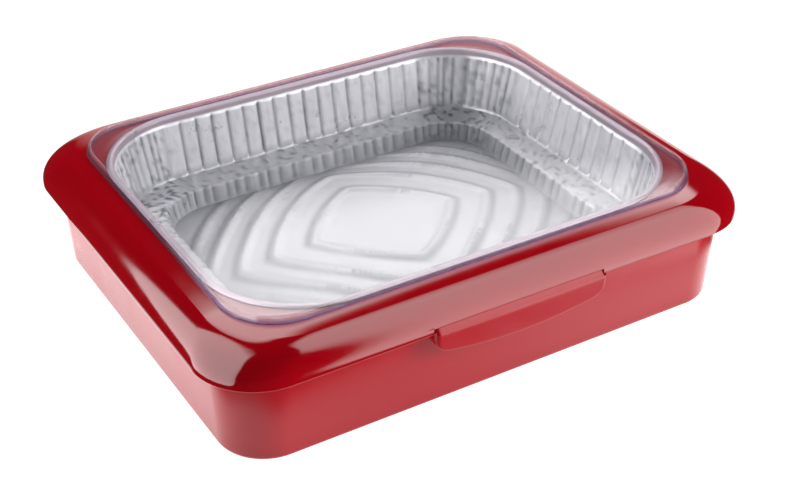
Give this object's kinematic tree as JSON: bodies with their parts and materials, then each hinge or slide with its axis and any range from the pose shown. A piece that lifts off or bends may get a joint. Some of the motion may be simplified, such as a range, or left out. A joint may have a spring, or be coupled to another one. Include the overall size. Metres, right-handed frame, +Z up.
{
  "type": "foil pan food carrier",
  "caption": "Rectangular food carrier: a tub with a snap-over rounded collar holds a disposable foil pan by its rim, under a clear lift-off lid.",
  "frame": {"origin": "centre of the bounding box at the tub's flat underside", "axes": "+X along the long side, +Y towards the back, +Z up; the front is at -Y"},
  "size_m": [0.3676, 0.3, 0.085],
  "materials": {
    "tub_satin_red": "satin moulded plastic",
    "collar_gloss_red": "high gloss moulded plastic",
    "lid_clear": "clear polished plastic",
    "pan_foil": "bright pressed foil"
  },
  "bodies": {
    "base": {"base_tub": "tub_satin_red"},
    "collar": {"collar": "collar_gloss_red"},
    "pan": {"foil_pan": "pan_foil"},
    "lid": {"clear_lid": "lid_clear"}
  },
  "joints": [
    {"name": "collar_lift", "type": "slide", "parent": "base", "child": "collar", "axis": [0, 0, 1], "range_m": [0, 0.16]},
    {"name": "lid_lift", "type": "slide", "parent": "collar", "child": "lid", "axis": [0, 0, 1], "range_m": [0, 0.16]},
    {"name": "pan_lift", "type": "slide", "parent": "collar", "child": "pan", "axis": [0, 0, 1], "range_m": [0, 0.08]}
  ],
  "couplings": [
    {"joint": "pan_lift", "follows": "lid_lift", "ratio": 0.5}
  ]
}
